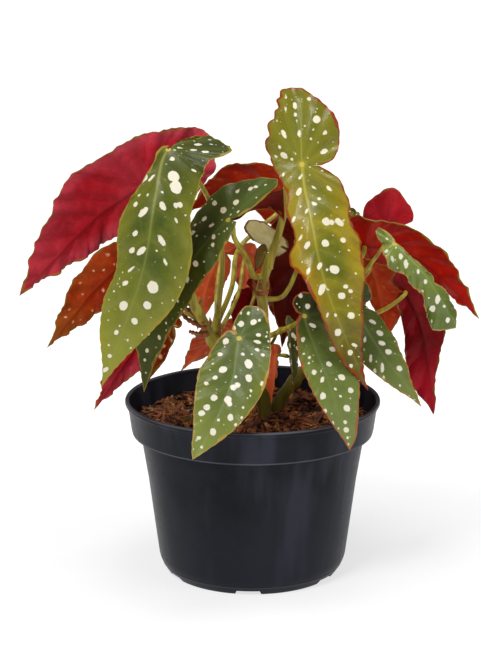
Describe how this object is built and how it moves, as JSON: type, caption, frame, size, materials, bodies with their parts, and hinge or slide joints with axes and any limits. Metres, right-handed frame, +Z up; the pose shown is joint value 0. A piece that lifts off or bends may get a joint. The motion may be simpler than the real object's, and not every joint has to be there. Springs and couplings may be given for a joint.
{
  "type": "potted polka dot begonia",
  "caption": "Cane begonia with long pointed leaves, spotted cream on top and wine red underneath, in a round black nursery pot.",
  "frame": {"origin": "on the surface that the pot stands on, under the middle of the plant's overall box, which is also the pot's axis to within 2 mm", "axes": "+Z up along the pot's axis; -Y towards the side that the picture shows, with the large green leaf that hangs over the pot's rim; +X to the right seen from that side"},
  "size_m": [0.3054, 0.2058, 0.3269],
  "materials": {
    "pot_plastic": "black thin-walled nursery pot plastic, semi-matte with a faint sheen on the rim",
    "soil_mix": "damp brown potting mix with coir fibres and bark chips, matte",
    "cane_skin": "smooth living stem, olive to yellow green with a soft gloss, tan dried scales at the joints",
    "leaf_green": "living leaf seen from its green top side, satin, with cream spots; wine red underneath",
    "leaf_red": "living leaf that mostly shows its wine red underside, satin, green with cream spots on top",
    "leaf_pale": "older faded leaf, pale olive cream, satin"
  },
  "bodies": {
    "root": {"pot": "pot_plastic", "soil": "soil_mix", "cane_left": "cane_skin", "cane_back": "cane_skin", "cane_centre": "cane_skin", "cane_right": "cane_skin", "leaf_crown": "leaf_green", "leaf_left_front": "leaf_green", "leaf_left_inner": "leaf_green", "leaf_low_front": "leaf_green", "leaf_right_front": "leaf_green", "leaf_right_low": "leaf_green", "leaf_right_narrow": "leaf_green", "leaf_left_back": "leaf_red", "leaf_left_low": "leaf_red", "leaf_left_hanging": "leaf_red", "leaf_left_small": "leaf_red", "leaf_left_bud": "leaf_red", "leaf_back_top": "leaf_red", "leaf_right_back": "leaf_red", "leaf_right_top": "leaf_red", "leaf_right_hanging": "leaf_red", "leaf_right_inner": "leaf_red", "leaf_pale_young": "leaf_pale", "leaf_pale_small": "leaf_pale", "leaf_back_low_left": "leaf_red", "leaf_dark_narrow": "leaf_green", "leaf_back_left": "leaf_red", "leaf_back_middle": "leaf_red", "leaf_back_low": "leaf_red", "leaf_back_right": "leaf_red", "leaf_young_top": "leaf_green", "leaf_red_narrow": "leaf_red", "leaf_back_low_right": "leaf_red", "leaf_back_high": "leaf_red"}
  },
  "joints": []
}
